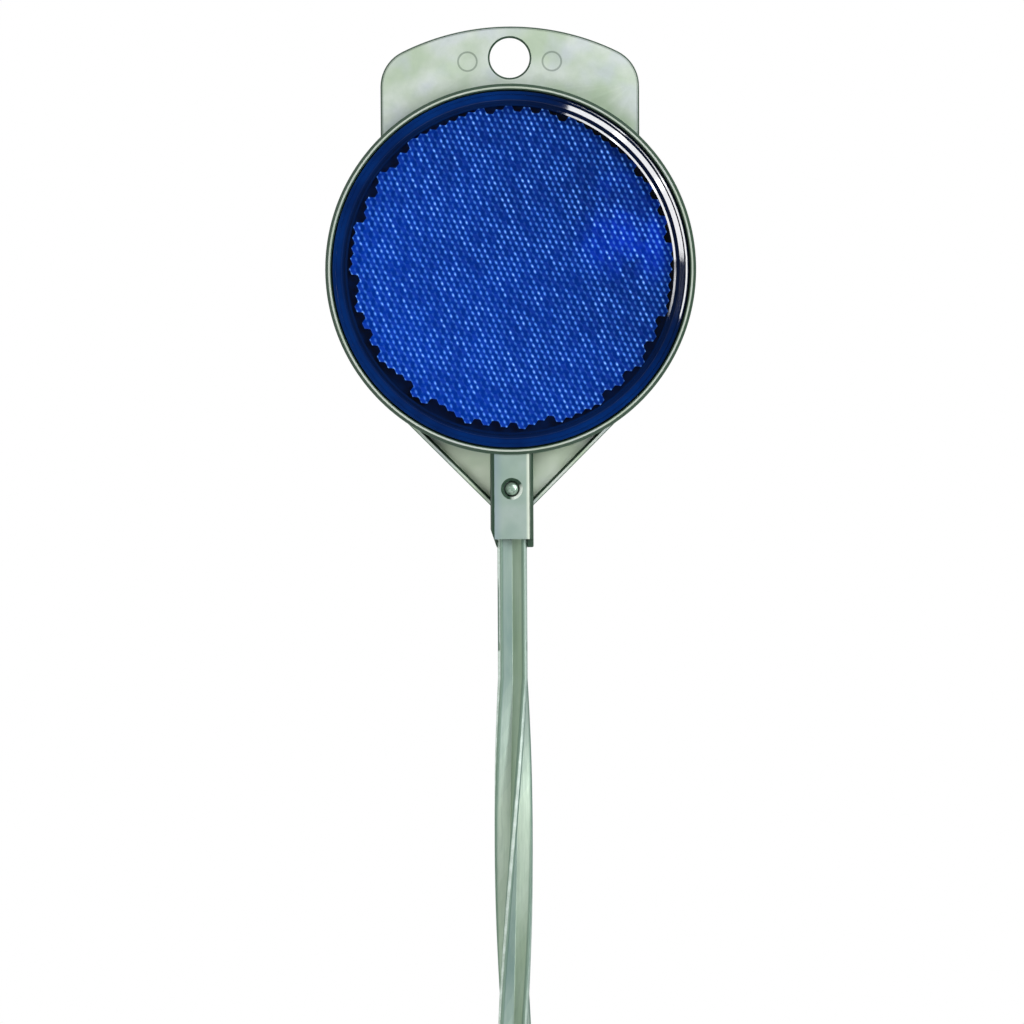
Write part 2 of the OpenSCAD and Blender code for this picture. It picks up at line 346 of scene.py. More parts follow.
def soften(piece, width, segments=3):
    """Bevels the sharp edges."""
    work_on(piece)
    bpy.ops.object.modifier_add(type="BEVEL")
    bevel = piece.modifiers[-1]
    bevel.width = width * MM
    bevel.segments = segments
    bevel.limit_method = "ANGLE"
    bevel.angle_limit = radians(SHARP)
    bpy.ops.object.modifier_apply(modifier=bevel.name)


def combine(base, other, operation):
    work_on(base)
    bpy.ops.object.modifier_add(type="BOOLEAN")
    boolean = base.modifiers[-1]
    boolean.operation = operation
    boolean.solver = "MANIFOLD"
    boolean.object = other
    bpy.ops.object.modifier_apply(modifier=boolean.name)
    bpy.data.objects.remove(other)


def add(base, other):
    combine(base, other, "UNION")


def cut(base, other):
    combine(base, other, "DIFFERENCE")


def smooth(piece, angle=32):
    work_on(piece)
    bpy.ops.object.shade_smooth_by_angle(angle=radians(angle))


# ---- housing ----
def ring_body():
    """The ring with its floor, spun from half of its cross section."""
    rim_r = RING_R - RING_DRAFT
    corner = arc((CUP_R - FLOOR_ROUND, FLOOR_T + FLOOR_ROUND), FLOOR_ROUND, 270, 360, 3)
    inner = arc((CUP_R + RIM_ROUND_IN, RING_DEPTH - RIM_ROUND_IN), RIM_ROUND_IN, 180, 90, 4)
    outer = arc((rim_r - RIM_ROUND_OUT, RING_DEPTH - RIM_ROUND_OUT), RIM_ROUND_OUT, 90, 20, 3)
    chamfer = [(RING_R - RIM_STEP, RING_DEPTH - RIM_CHAMFER)]
    back = arc((RING_R - BACK_ROUND, BACK_ROUND), BACK_ROUND, 0, -90, 3)
    return turned("ring", [(0, FLOOR_T)] + corner + inner + outer + chamfer + back + [(0, 0)], TURN_STEPS)


def tab_outline():
    corner_x = TAB_W / 2 - TAB_CORNER
    corner_up = sqrt((TAB_TOP_R - TAB_CORNER) ** 2 - corner_x ** 2)
    lean = degrees(atan2(corner_up, corner_x))
    inside = RING_R - IN_WALL
    side = degrees(atan2(sqrt(inside ** 2 - (TAB_W / 2) ** 2), TAB_W / 2))
    return (arc((corner_x, corner_up), TAB_CORNER, 0, lean, 10)
            + arc((0, 0), TAB_TOP_R, lean, 180 - lean, 48)
            + arc((-corner_x, corner_up), TAB_CORNER, 180 - lean, 180, 10)
            + arc((0, 0), inside, 180 - side, side, 32))


def ejector_mark(x, up, surface, diameter, depth):
    r = diameter / 2
    return round_bar("mark", in_head(x, up, surface), r - MARK_SLOPE, r + MARK_SLOPE, 2 * depth)


def nail_tab():
    tab = head_slab("nail_tab", tab_outline(), TAB_T)
    soften(tab, TAB_SOFT)
    r = NAIL_HOLE_D / 2
    cut(tab, round_bar("hole", in_head(0, NAIL_HOLE_UP, TAB_T / 2), r, r, TAB_T + 2 * PAST))
    cut(tab, round_bar("lip", in_head(0, NAIL_HOLE_UP, TAB_T), r, r + 2 * HOLE_LIP, 2 * HOLE_LIP))
    for side in (-1, 1):
        cut(tab, ejector_mark(side * MARK_OUT, NAIL_HOLE_UP - MARK_LOW, TAB_T, MARK_D, MARK_DEPTH))
    return tab


def rib_outline():
    """The right rib: a band at 45 degrees, which ends in the socket's side."""
    side_x = SOCKET_W / 2 - IN_SOCKET
    start = RIB_REACH / sqrt(2)
    low_up = side_x - RIB_REACH * sqrt(2)
    gap = RIB_T * sqrt(2)
    return [(start, -start), (side_x, low_up), (side_x, low_up + gap), (start - gap / 2, -start + gap / 2)]


def gusset_outline():
    """The right plate: from the socket's side, along the ring, to the middle of the rib."""
    side_x = SOCKET_W / 2 - IN_SOCKET
    inside = RING_R - IN_WALL
    middle = RIB_REACH - RIB_T / 2
    return ([(side_x, side_x - middle * sqrt(2)), (side_x, -sqrt(inside ** 2 - side_x ** 2))]
            + arc((0, 0), inside, *GUSSET_ARC, 12) + [(middle / sqrt(2), -middle / sqrt(2))])


def on_side(outline, side):
    """An outline of the right side, or its mirror image for the left."""
    return outline if side > 0 else [(-x, up) for x, up in reversed(outline)]


def lean_rib_sides(rib, side):
    """Narrows a rib towards its front edge, more on the side of the gusset."""
    front_y = in_head(0, 0, RIB_H).y

    def on_front(vertex, inner):
        reach = (side * vertex.co.x / MM - (vertex.co.z / MM - RING_Z)) / sqrt(2)
        return abs(vertex.co.y - front_y) < ON_FACE * MM and (reach < RIB_REACH - RIB_T / 2) == inner

    edit(rib)
    for inner, shift in ((True, RIB_LEAN_IN), (False, -RIB_LEAN_OUT)):
        select_points(rib, lambda vertex: on_front(vertex, inner))
        bpy.ops.transform.translate(value=mm(side, 0, -1) * shift / sqrt(2))
    finish_edit()


def gusset(side):
    rib = head_slab("rib", on_side(rib_outline(), side), RIB_H)
    lean_rib_sides(rib, side)
    soften(rib, RIB_SOFT, 2)
    plate = head_slab("gusset_plate", on_side(gusset_outline(), side), GUSSET_T)
    cut(plate, ejector_mark(side * GUSSET_MARK_OUT, -RING_R - GUSSET_MARK_DROP, GUSSET_T, GUSSET_MARK_D,
                            GUSSET_MARK_DEPTH))
    add(rib, plate)
    return rib


def socket_outline():
    half = SOCKET_W / 2
    edge = half - SOCKET_ROUND
    return ([(-half, half)] + arc((-edge, -edge), SOCKET_ROUND, 180, 270, 6)
            + arc((edge, -edge), SOCKET_ROUND, 270, 360, 6) + [(half, half)])


def socket_body():
    """The square socket up into the ring's wall, its front wall cut short and its left lip cut slanting."""
    half = SOCKET_W / 2
    inside = half - SOCKET_WALL
    outside = half + PAST
    height = SOCKET_TOP_Z + IN_WALL - SOCKET_END_Z
    body = slab("socket", [mm(x, y, SOCKET_END_Z) for x, y in socket_outline()], mm(0, 0, height))
    soften(body, SOCKET_SOFT)
    mouth_y = LIP_CLEAR - inside
    slope_y = LIP_SLOPE - inside + PAST
    mouth = [(-outside, -outside), (outside, -outside), (outside, slope_y), (inside, mouth_y), (-inside, mouth_y),
             (-outside, slope_y)]
    cut(body, slab("front_cut", [mm(x, y, SOCKET_END_Z - PAST) for x, y in mouth], mm(0, 0, SOCKET_LIP + PAST)))
    slant = [(-outside, -PAST), (-inside, -PAST), (-inside, 0), (-half, LIP_CUT_H), (-outside, LIP_CUT_H)]
    cut(body, slab("slant_cut", [mm(x, outside, SOCKET_END_Z + up) for x, up in slant], mm(0, -2 * outside, 0)))
    return body


def reflector_housing():
    """The one moulding, with its bore and the rivet's seat cut last."""
    housing = ring_body()
    add(housing, nail_tab())
    for side in (-1, 1):
        add(housing, gusset(side))
    add(housing, socket_body())
    bore = SOCKET_W / 2 - SOCKET_WALL
    cut(housing, box("bore", mm(-bore, -bore, SOCKET_END_Z - PAST), mm(bore, bore, SOCKET_TOP_Z)))
    seat_r = RIVET_HEAD_D / 2 + HEAD_FIT
    front = mm(0, -SOCKET_W / 2, RIVET_Z)
    cut(housing, round_bar("rivet_hole", front, seat_r, seat_r, 2 * SOCKET_WALL + PAST))
    cut(housing, round_bar("countersink", front, seat_r, seat_r + 2 * SEAT_FLARE, SOCKET_WALL))
    housing.name = housing.data.name = "moulded_housing"
    smooth(housing)
    return housing


# ---- lens ----
def clear_lens():
    """The moulded lens: raised face, groove, sloped shoulder with a bead, and skirt, hollow behind the face."""
    shoulder_z = LENS_FRONT - FACE_RISE
    groove_z = shoulder_z - GROOVE_DEPTH
    groove_r = LENS_R - SHOULDER_W
    face_r = groove_r - GROOVE_W
    slope_r = face_r - FACE_SLOPE_IN
    slope_z = LENS_FRONT - (slope_r - WINDOW_R) * tan(radians(FACE_LEAN))
    face = [(0, LENS_FRONT), (WINDOW_R, LENS_FRONT), (slope_r, slope_z)]
    face += arc((face_r - FACE_ROUND, slope_z - FACE_ROUND), FACE_ROUND, 50, 0, 4)
    groove = [(face_r, groove_z), (groove_r - GROOVE_ROUND, groove_z), (groove_r, groove_z + GROOVE_ROUND)]
    flare_r = groove_r + GROOVE_FLARE
    bead_r = LENS_R - BEAD_IN
    foot_r = bead_r - 2 * BEAD_STEP
    foot_z = shoulder_z - (foot_r - flare_r) * tan(radians(SHOULDER_LEAN))
    bead_z = foot_z + BEAD_H
    shoulder = [(flare_r, shoulder_z), (foot_r, foot_z), (bead_r - BEAD_STEP, bead_z - BEAD_STEP), (bead_r, bead_z)]
    edge_r = LENS_R - EDGE_ROUND
    edge_z = bead_z - (edge_r - bead_r) * tan(radians(OUTER_LEAN))
    edge = [(edge_r, edge_z)] + arc((edge_r, edge_z - EDGE_ROUND), EDGE_ROUND, 55, 0, 6)
    under = LENS_FRONT - FACE_T
    skirt_r = LENS_R - SKIRT_WALL
    skirt = [(LENS_R, FLOOR_T), (skirt_r, FLOOR_T), (skirt_r, under), (WINDOW_R, under), (0, under)]
    lens = turned("clear_lens", face + groove + shoulder + edge + skirt, LENS_STEPS)
    smooth(lens, 15)
    return lens


def in_window(centre, normal):
    """Whether a face belongs to the flat pane in front of the prisms."""
    off_axis = sqrt(centre.x ** 2 + (centre.z - RING_Z) ** 2)
    return off_axis < WINDOW_R and abs(normal.y) > 0.9 and centre.y < BACK_Y - LENS_FRONT + 2 * FACE_T


def prism_cell(start, turn):
    """One hexagonal corner-cube pit: its middle lies deepest and every other corner nearest."""
    deselect_all()
    bpy.ops.mesh.primitive_circle_add(vertices=6, radius=PRISM_SIDE * MM, fill_type="TRIFAN", location=start,
                                      rotation=(pi / 2, 0, 0))
    cell = name_start("prism_field")
    edit(cell)
    bpy.ops.transform.rotate(value=turn, orient_axis="Y", orient_type="GLOBAL", center_override=start)

    def is_middle(vertex):
        return (vertex.co - start).length < PRISM_SIDE * MM / 2

    def is_half_deep(vertex):
        reach = vertex.co - start
        sixth = round((atan2(reach.z, reach.x) - turn - pi / 6) / (pi / 3)) % 6
        return not is_middle(vertex) and sixth % 2 == 0

    for chosen, depth in ((is_half_deep, PRISM_STEP), (is_middle, 2 * PRISM_STEP)):
        select_points(cell, chosen)
        bpy.ops.transform.translate(value=mm(0, depth, 0))
    finish_edit()
    return cell


def repeat(piece, offset, count):
    work_on(piece)
    bpy.ops.object.modifier_add(type="ARRAY")
    array = piece.modifiers[-1]
    array.use_relative_offset = False
    array.use_constant_offset = True
    array.constant_offset_displace = offset
    array.count = count
    bpy.ops.object.modifier_apply(modifier=array.name)


def prism_field():
    """The pit copied over the field, with the cells past its edge left out, and a flat back."""
    zone = LENS_R - SKIRT_WALL - PRISM_MARGIN - PRISM_SIDE
    turn = radians(PRISM_TURN)
    across = mm(cos(turn), 0, sin(turn)) * PRISM_PITCH
    slanted = mm(cos(turn + pi / 3), 0, sin(turn + pi / 3)) * PRISM_PITCH
    count = 2 * ceil(zone / (PRISM_PITCH * sqrt(3) / 2)) + 3
    field = prism_cell(in_head(0, 0, PRISM_TOP) - (across + slanted) * (count // 2), turn)
    repeat(field, across, count)
    repeat(field, slanted, count)
    middle = in_head(*PRISM_SHIFT, PRISM_TOP)

    def is_far_middle(vertex):
        reach = vertex.co - middle
        return len(vertex.link_faces) == 6 and sqrt(reach.x ** 2 + reach.z ** 2) > zone * MM

    edit(field)
    select_points(field, is_far_middle)
    bpy.ops.mesh.delete(type="VERT")
    bpy.ops.mesh.select_all(action="SELECT")
    bpy.ops.mesh.delete_loose(use_verts=True, use_edges=True, use_faces=False)
    bpy.ops.mesh.select_all(action="SELECT")
    bpy.ops.mesh.remove_doubles(threshold=10 * SAME_PLACE * MM)
    bpy.ops.mesh.select_all(action="SELECT")
    depth = 2 * PRISM_STEP + PRISM_BODY_T
    push(mm(0, depth, 0))
    bpy.ops.transform.resize(value=(1, 0, 1), center_override=in_head(0, 0, PRISM_TOP - depth))
    tidy_skin()
    return field


def backing():
    """Dark plate behind the prisms, which closes the lens round their ragged edge."""
    r = LENS_R - SKIRT_WALL - BACKING_FIT
    plate = round_bar("lens_backing", in_head(0, 0, PRISM_TOP - BACKING_DOWN), r, r, BACKING_T, 128)
    smooth(plate)
    return plate


# ---- stake ----
def star_outline():
    """A cross of four arms with rounded roots and softened tips."""
    half, tip = ARM_T / 2, STAKE_W / 2
    root = half + FLUTE_ROUND
    upper = arc((tip - TIP_ROUND, half - TIP_ROUND), TIP_ROUND, 0, 90, 4)
    lower = [(x, -y) for x, y in reversed(upper)]
    quarter = lower + upper + arc((root, root), FLUTE_ROUND, 270, 180, 3)
    turns = [radians(90 * k) for k in range(4)]
    return [(x * cos(t) - y * sin(t), x * sin(t) + y * cos(t)) for t in turns for x, y in quarter]


def turned_star(z, angle):
    turn = radians(angle)
    return [mm(x * cos(turn) - y * sin(turn), x * sin(turn) + y * cos(turn), z) for x, y in star_outline()]


def chisel_cut(side):
    """A wedge that slants one side of the point."""
    reach = STAKE_W / 2 + PAST
    slope = [(POINT_FLAT, -PAST), (POINT_FLAT, 0), (reach, POINT_H * 2 * reach / STAKE_W), (reach, -PAST)]
    return slab("foot_cut", [mm(side * x, STAKE_W, z) for x, z in slope], mm(0, -2 * STAKE_W, 0))


def twisted_stake():
    """The bar: its cross section is pushed along the stake and turned a little with each push."""
    twist_len = TWIST_TOP_Z - FOOT_LEN
    full_turn = 360 * twist_len / TWIST_PITCH
    bar = drawn_line("twisted_stake", turned_star(STAKE_END, 45 - full_turn))
    bpy.ops.mesh.edge_face_add()
    bpy.ops.mesh.select_all(action="SELECT")
    push(mm(0, 0, FOOT_LEN - STAKE_END))
    for _ in range(TWIST_SLICES):
        push(mm(0, 0, twist_len / TWIST_SLICES))
        bpy.ops.transform.rotate(value=-radians(full_turn / TWIST_SLICES), orient_axis="Z", orient_type="GLOBAL",
                                 center_override=(0, 0, 0))
    push(mm(0, 0, SOCKET_TOP_Z + STAKE_END - TWIST_TOP_Z))
    tidy_skin()
    for side in (-1, 1):
        cut(bar, chisel_cut(side))
    nick = [(-STAKE_W, NICK[0][1] + NICK_RAMP)] + list(NICK) + [(-STAKE_W, NICK[-1][1])]
    cut(bar, slab("nick", [mm(x, 0, RING_Z + up) for x, up in nick], mm(0, -STAKE_W, 0)))
    smooth(bar, 40)
    return bar


# ---- rivet ----
def locking_rivet():
    """The pressed head of the rivet: a low dome, a little flattened where it was struck."""
    r = RIVET_HEAD_D / 2
    seat = mm(0, rivet_low.y / MM + RIVET_HEAD_H, RIVET_Z)
    deselect_all()
    bpy.ops.mesh.primitive_uv_sphere_add(segments=48, ring_count=24, radius=r * MM, location=seat,
                                         rotation=(pi / 2, 0, 0))
    rivet = name_start("rivet_head")
    edit(rivet)
    bpy.ops.transform.resize(value=(1, RIVET_HEAD_H / r, 1), center_override=seat)
    tidy_skin()
    smooth(rivet, 60)
    return rivet


# ---- materials: a value passed on in a material is a pair of a node and its output ----
def new_material(name):
    material = bpy.data.materials.new(name)
    material.use_nodes = True
    return material, material.node_tree, material.node_tree.nodes["Principled BSDF"]


def node(tree, kind, inputs=(), **settings):
    """Adds a node; inputs maps sockets to numbers or to (node, output) pairs."""
    made = tree.nodes.new(kind)
    for key, value in settings.items():
        setattr(made, key, value)
    for key, value in dict(inputs).items():
        if isinstance(value, tuple) and isinstance(value[0], bpy.types.Node):
            link(tree, value, made, key)
        else:
            made.inputs[key].default_value = value
    return made


def link(tree, source, target, socket):
    tree.links.new(source[0].outputs[source[1]], target.inputs[socket])


def math(tree, operation, first, second=0.0, third=0.0):
    return node(tree, "ShaderNodeMath", {0: first, 1: second, 2: third}, operation=operation), 0


def product(tree, *factors):
    made = factors[0]
    for factor in factors[1:]:
        made = math(tree, "MULTIPLY", made, factor)
    return made


def larger(tree, first, second):
    return math(tree, "MAXIMUM", first, second)


def vector_math(tree, operation, first, second=(0, 0, 0)):
    made = node(tree, "ShaderNodeVectorMath", {0: first, 1: second}, operation=operation)
    return made, 1 if operation in ("DOT_PRODUCT", "LENGTH", "DISTANCE") else 0


def weighed_length(tree, where, weights):
    """The length of a vector after each of its parts is multiplied by a weight: 0 leaves a part out."""
    return vector_math(tree, "LENGTH", vector_math(tree, "MULTIPLY", where, weights))


def mapped(tree, value, low, high, to_low=0.0, to_high=1.0, kind="LINEAR"):
    return node(tree, "ShaderNodeMapRange", {"Value": value, "From Min": low, "From Max": high, "To Min": to_low,
                                             "To Max": to_high}, interpolation_type=kind), 0


def mapped_mm(tree, value, low, high, *rest):
    """Maps a length between two others that are given in millimetres."""
    return mapped(tree, value, low * MM, high * MM, *rest)


def mixed(tree, factor, first, second):
    return node(tree, "ShaderNodeMix", {0: factor, 6: first, 7: second}, data_type="RGBA"), 2


def in_object(tree):
    return node(tree, "ShaderNodeTexCoord"), "Object"


def true_normal(tree):
    return node(tree, "ShaderNodeNewGeometry"), "True Normal"


def parts_of(tree, source):
    """The three parts of a vector."""
    made = node(tree, "ShaderNodeSeparateXYZ", {0: source})
    return (made, "X"), (made, "Y"), (made, "Z")


def from_ring_centre(tree):
    return vector_math(tree, "SUBTRACT", in_object(tree), (0, 0, RING_Z * MM))


def place(tree, scale=(1, 1, 1), turn=(0, 0, 0), source=None):
    return node(tree, "ShaderNodeMapping", {"Vector": source or in_object(tree), "Scale": scale, "Rotation": turn}), 0


def noise(tree, where, scale, detail=4.0, rough=0.55):
    return node(tree, "ShaderNodeTexNoise", {"Vector": where, "Scale": scale, "Detail": detail, "Roughness": rough}), 0


def bump(tree, height, strength, distance):
    return node(tree, "ShaderNodeBump", {"Height": height, "Strength": strength, "Distance": distance * MM}), 0


def show_mixed(tree, share, first, second, out):
    """Shows the first shader where share is 0 and the second where it is 1."""
    link(tree, (node(tree, "ShaderNodeMixShader", {0: share, 1: first, 2: second}), 0), out, "Surface")


def srgb(r, g, b):
    """The linear colour of an sRGB triple given in 0..255."""
    linear = [v / 255 / 12.92 if v <= 10 else ((v / 255 + 0.055) / 1.055) ** 2.4 for v in (r, g, b)]
    return (*linear, 1.0)


def grey(level):
    return (level, level, level, 1)


def housing_plastic():
    """Silver-grey plastic with a green cast and faint flow mottling, with painted shade and painted highlights."""
    material, tree, skin = new_material("silver_plastic")
    where = place(tree)
    x, y, z = parts_of(tree, in_object(tree))
    facing = vector_math(tree, "DOT_PRODUCT", true_normal(tree), (0, 1, 0))
    towards = math(tree, "ABSOLUTE", facing)
    on_front = mapped(tree, facing, 0.2, -0.2)
    broad = noise(tree, where, 110.0, 2.0, 0.4)
    drift = noise(tree, place(tree, turn=(0.6, 0.9, 0.4)), 150.0, 2.0, 0.45)
    fine = noise(tree, where, 900.0, 5.0, 0.65)

    # flow mottling, with more contrast on the faces that look to the front
    contrast = mapped(tree, on_front, 0.0, 1.0, 2.0, 4.6)
    flow = math(tree, "MULTIPLY_ADD", math(tree, "SUBTRACT", broad, 0.5), contrast, 0.5)
    tone = mixed(tree, mapped(tree, flow, 0.0, 1.0), srgb(170, 186, 164), srgb(196, 204, 198))
    cool_flow = product(tree, mapped(tree, drift, 0.48, 0.68, 0.0, 0.55), mapped(tree, on_front, 0.0, 1.0, 0.4, 1.0))
    tone = mixed(tree, cool_flow, tone, srgb(184, 190, 204))
    tone = mixed(tree, mapped(tree, fine, 0.3, 0.7, 0.0, 0.25), tone, srgb(150, 168, 150))

    # the socket: painted shade makes it darker, and cooler and darker still on its left side; a painted highlight runs
    # down its right edge
    socket = product(tree, mapped_mm(tree, y, -3.4, -4.4), mapped_mm(tree, y, -5.4, -5.0))
    socket_shade = product(tree, socket, mapped(tree, drift, 0.3, 0.7, 0.95, 0.6))
    tone = mixed(tree, socket_shade, tone, srgb(126, 148, 140))
    cool = product(tree, socket, mapped_mm(tree, x, -2.0, -4.0, 0.0, 0.55))
    tone = mixed(tree, cool, tone, srgb(118, 134, 152))
    right_edge_highlight = product(tree, socket, mapped_mm(tree, x, 3.1, 3.6, 0.0, 0.85))
    tone = mixed(tree, right_edge_highlight, tone, srgb(206, 216, 200))

    # painted shade: the ring's rim darker
    tone = mixed(tree, mapped_mm(tree, y, -5.2, -5.5, 0.0, 0.5), tone, srgb(168, 176, 166))

    # painted light: the gusset plates pale where the ring and ribs shade them, the left one more than the right one
    plate_light = product(tree, mapped_mm(tree, z, RING_Z - 38, RING_Z - 42, 0.0, 0.9), mapped_mm(tree, y, 2.0, 2.6),
                     mapped_mm(tree, y, 3.3, 3.0), mapped_mm(tree, x, -3.0, 3.0, 1.0, 0.35))
    pale = mixed(tree, mapped(tree, drift, 0.4, 0.6), srgb(232, 242, 222), srgb(216, 230, 206))
    tone = mixed(tree, plate_light, tone, pale)

    # painted shade: the walls darker, and darker still where an edge turns away
    tone = mixed(tree, mapped(tree, towards, 0.9, 0.4, 0.0, 0.8), tone, srgb(96, 126, 106))
    edge = product(tree, mapped(tree, towards, 0.99, 0.93), mapped(tree, towards, 0.09, 0.13, 0.0, 0.98))
    tone = mixed(tree, edge, tone, srgb(26, 58, 38))

    # painted highlight: a bright arc in the rivet's seat, on the wall that faces up and to the left
    from_rivet = vector_math(tree, "DISTANCE", where, mm(0, -SOCKET_W / 2, RIVET_Z))
    seat_light = vector_math(tree, "DOT_PRODUCT", true_normal(tree), (-0.7, 0, 0.5))
    seat_highlight = product(tree, mapped_mm(tree, from_rivet, 3.2, 2.8), mapped(tree, seat_light, 0.25, 0.5))
    tone = mixed(tree, seat_highlight, tone, srgb(226, 236, 226))

    link(tree, tone, skin, "Base Color")
    matt = larger(tree, mapped(tree, fine, 0.3, 0.7, 0.34, 0.5), mapped(tree, towards, 0.6, 0.3, 0.0, 0.85))
    link(tree, matt, skin, "Roughness")
    link(tree, bump(tree, fine, 0.25, 0.05), skin, "Normal")
    return material


def bar_aluminium():
    """Drawn aluminium, satin: the sides of the arms painted dull grey-green as shade, their tips painted bright as
    highlights.
    """
    material, tree, skin = new_material("satin_aluminium")
    streaks = noise(tree, place(tree, scale=(1, 1, 0.04)), 2600.0, 3.0, 0.6)
    blotches = noise(tree, place(tree, scale=(1, 1, 0.3)), 220.0, 3.0)
    grain = noise(tree, place(tree), 1800.0, 4.0)
    to_right = parts_of(tree, true_normal(tree))[0]
    x, _, z = parts_of(tree, place(tree))
    from_axis = weighed_length(tree, place(tree), (1, 1, 0))

    # painted shade: the sides of the arms darker as they turn to the left, and darker and bluer as they turn to the
    # right
    tone = mixed(tree, mapped(tree, to_right, -0.85, -0.1), srgb(140, 164, 134), srgb(182, 200, 182))
    tone = mixed(tree, mapped(tree, to_right, 0.15, 0.75), tone, srgb(124, 148, 146))
    tone = mixed(tree, mapped(tree, blotches, 0.35, 0.65, 0.0, 0.35), tone, srgb(184, 198, 188))
    tone = mixed(tree, mapped(tree, streaks, 0.4, 0.7, 0.0, 0.3), tone, srgb(128, 152, 138))

    # painted highlights on the tips, dimmer on those that face right, and a painted line of shade just below them
    under_tip_shade = product(tree, mapped_mm(tree, from_axis, 3.45, 3.85), mapped_mm(tree, from_axis, 4.25, 4.22), 0.75)
    tone = mixed(tree, under_tip_shade, tone, srgb(84, 114, 100))
    tip_highlight = product(tree, mapped_mm(tree, from_axis, 4.22, 4.25), mapped(tree, grain, 0.3, 0.6, 0.6, 1.0))
    tip = mixed(tree, mapped(tree, to_right, 0.2, 0.8), srgb(208, 222, 216), srgb(154, 176, 164))
    tone = mixed(tree, tip_highlight, tone, tip)

    # darker along the nick in the left arm, and on a short stretch of the right arm's edge
    high, low = RING_Z + NICK[0][1], RING_Z + NICK[-1][1] - 0.3
    darkened_foot = mapped_mm(tree, z, low, low + 0.3)
    left_darkened = product(tree, darkened_foot, mapped_mm(tree, z, high, high - 3), mapped_mm(tree, x, -2.85, -3.1, 0.0, 0.85))
    right_darkened = product(tree, darkened_foot, mapped_mm(tree, z, low + 2.3, low + 2), mapped_mm(tree, x, 3.0, 3.2, 0.0, 0.8))
    tone = mixed(tree, larger(tree, left_darkened, right_darkened), tone, srgb(64, 94, 82))

    link(tree, tone, skin, "Base Color")
    skin.inputs["Metallic"].default_value = 0.35
    link(tree, mapped(tree, streaks, 0.3, 0.7, 0.42, 0.58), skin, "Roughness")
    link(tree, bump(tree, streaks, 0.15, 0.05), skin, "Normal")
    return material


def rivet_aluminium():
    """The rivet's pressed head: brighter, with fine hammer grain."""
    material, tree, skin = new_material("pressed_aluminium")
    grain = noise(tree, place(tree), 1600.0, 3.0)
    tone = mixed(tree, mapped(tree, grain, 0.35, 0.65), srgb(150, 178, 160), srgb(186, 206, 192))
    link(tree, tone, skin, "Base Color")
    skin.inputs["Metallic"].default_value = 0.7
    link(tree, mapped(tree, grain, 0.3, 0.7, 0.25, 0.4), skin, "Roughness")
    link(tree, bump(tree, grain, 0.25, 0.04), skin, "Normal")
    return material


def lens_navy():
    """Thick blue acrylic seen from its rounded edge, where it looks nearly black, with painted shade on its right side
    and by the groove.
    """
    material, tree, skin = new_material("deep_blue_acrylic")
    where = place(tree)
    centred = from_ring_centre(tree)
    cloud = noise(tree, where, 120.0, 3.0)
    tone = mixed(tree, mapped(tree, cloud, 0.3, 0.7), srgb(0, 32, 88), srgb(0, 44, 110))
    # painted shade: darker towards the right and a little upwards
    right_side_shade = vector_math(tree, "DOT_PRODUCT", centred, (0.9, 0, 0.45))
    tone = mixed(tree, mapped_mm(tree, right_side_shade, 12, 34, 0.0, 0.9, "SMOOTHSTEP"), tone, srgb(1, 8, 30))
    # painted shade: darker on the shoulder next to the groove
    groove_shade = mapped_mm(tree, weighed_length(tree, centred, (1, 0, 1)), 38.1, 37.3, 0.0, 0.65)
    tone = mixed(tree, groove_shade, tone, srgb(1, 10, 34))
    link(tree, tone, skin, "Base Color")
    skin.inputs["Roughness"].default_value = 0.06
    skin.inputs["IOR"].default_value = 1.49
    link(tree, bump(tree, noise(tree, where, 1500.0), 0.05, 0.02), skin, "Normal")
    return material


def lens_window():
    """The flat face: a clear pane with the gloss of polished acrylic, on its outer side only."""
    material, tree, skin = new_material("clear_face")
    tree.nodes.remove(skin)
    normal = bump(tree, noise(tree, place(tree), 1200.0), 0.04, 0.02)
    clear = node(tree, "ShaderNodeBsdfTransparent", {"Color": grey(1)}), 0
    gloss = node(tree, "ShaderNodeBsdfGlossy", {"Color": grey(1), "Roughness": 0.05, "Normal": normal}), 0
    fresnel = node(tree, "ShaderNodeFresnel", {"IOR": 1.4}), 0
    outside = math(tree, "SUBTRACT", 1.0, (node(tree, "ShaderNodeNewGeometry"), "Backfacing"))
    share = product(tree, mapped(tree, fresnel, 0.03, 1.0), outside)
    show_mixed(tree, share, clear, gloss, tree.nodes["Material Output"])
    return material


def soft_dots(tree, where, shift_x, shift_z):
    """Brightness of soft oval dots on a rectangular lattice in millimetres, each with its own strength."""
    cell_x, cell_z = PRISM_SIDE, PRISM_SIDE * sqrt(3)
    moved = vector_math(tree, "ADD", where, (shift_x, 0, shift_z))
    corner = vector_math(tree, "SNAP", moved, (cell_x, 1000.0, cell_z))
    offset = vector_math(tree, "SUBTRACT", moved, corner)
    centred = vector_math(tree, "SUBTRACT", offset, (cell_x / 2, 0, cell_z / 2))
    flat = vector_math(tree, "MULTIPLY", centred, (1, 0, 1))
    leaned = place(tree, turn=(0, radians(DOT_LEAN), 0), source=flat)
    far = weighed_length(tree, leaned, (1 / DOT_LONG, 0, 1 / DOT_WIDE))
    dot = mapped(tree, far, 1.0, 0.0, 0.0, 1.0, "SMOOTHSTEP")
    chance = node(tree, "ShaderNodeTexWhiteNoise", {"Vector": corner}, noise_dimensions="3D"), 0
    return product(tree, dot, mapped(tree, chance, 0.0, 1.0, 0.1, 1.25))


